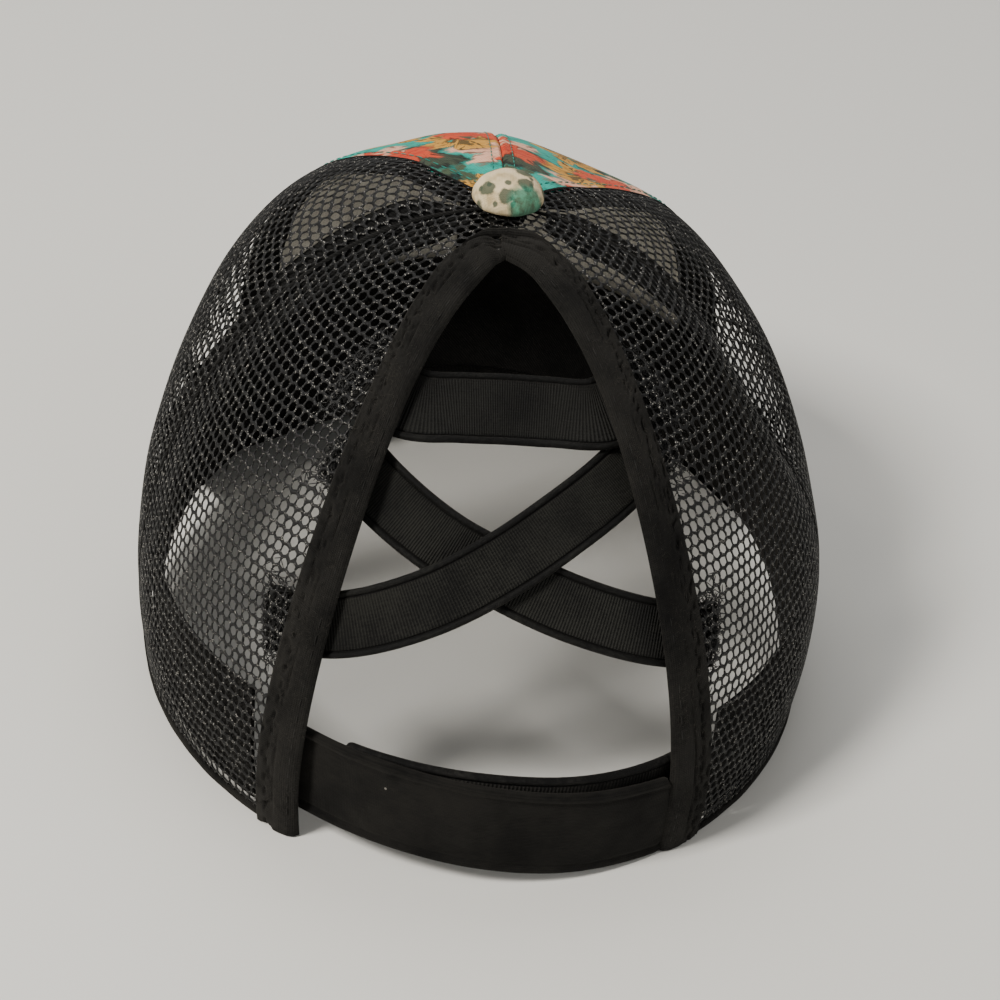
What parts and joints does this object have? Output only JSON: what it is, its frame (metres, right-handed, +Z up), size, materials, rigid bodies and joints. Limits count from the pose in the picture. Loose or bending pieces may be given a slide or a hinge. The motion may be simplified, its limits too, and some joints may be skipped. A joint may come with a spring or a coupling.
{
  "type": "ponytail baseball cap",
  "caption": "Panelled baseball cap with printed front, black mesh sides and rear, bound inverted-V ponytail opening crossed by elastics, a strap closure, covered button and curved peak.",
  "frame": {"origin": "middle of the cap's footprint, on the surface it rests on", "axes": "+Z up; +Y to the rear, where the ponytail opening is; -Y to the front, where the peak is; +X to the left of a view from behind"},
  "size_m": [0.1688, 0.2664, 0.1276],
  "materials": {
    "printed_cotton": "satin",
    "polyester_mesh": "satin",
    "binding_cotton": "matte",
    "seam_tape": "matte",
    "woven_elastic": "matte",
    "closure_cotton": "matte",
    "closure_webbing": "matte",
    "sweatband_cotton": "matte",
    "peak_cotton": "matte",
    "button_print": "matte"
  },
  "bodies": {
    "root": {"front_panel_left": "printed_cotton", "front_panel_right": "printed_cotton", "side_mesh_left": "polyester_mesh", "side_mesh_right": "polyester_mesh", "rear_mesh_left": "polyester_mesh", "rear_mesh_right": "polyester_mesh", "opening_binding_left": "binding_cotton", "opening_binding_right": "binding_cotton", "seam_tape_rear_left": "seam_tape", "seam_tape_rear_right": "seam_tape", "seam_tape_front_left": "seam_tape", "seam_tape_front_right": "seam_tape", "seam_tape_front_centre": "seam_tape", "elastic_top": "woven_elastic", "elastic_cross_front": "woven_elastic", "elastic_cross_back": "woven_elastic", "closure_tab": "closure_cotton", "closure_strap": "closure_webbing", "sweatband": "sweatband_cotton", "peak": "peak_cotton", "button": "button_print"}
  },
  "joints": []
}
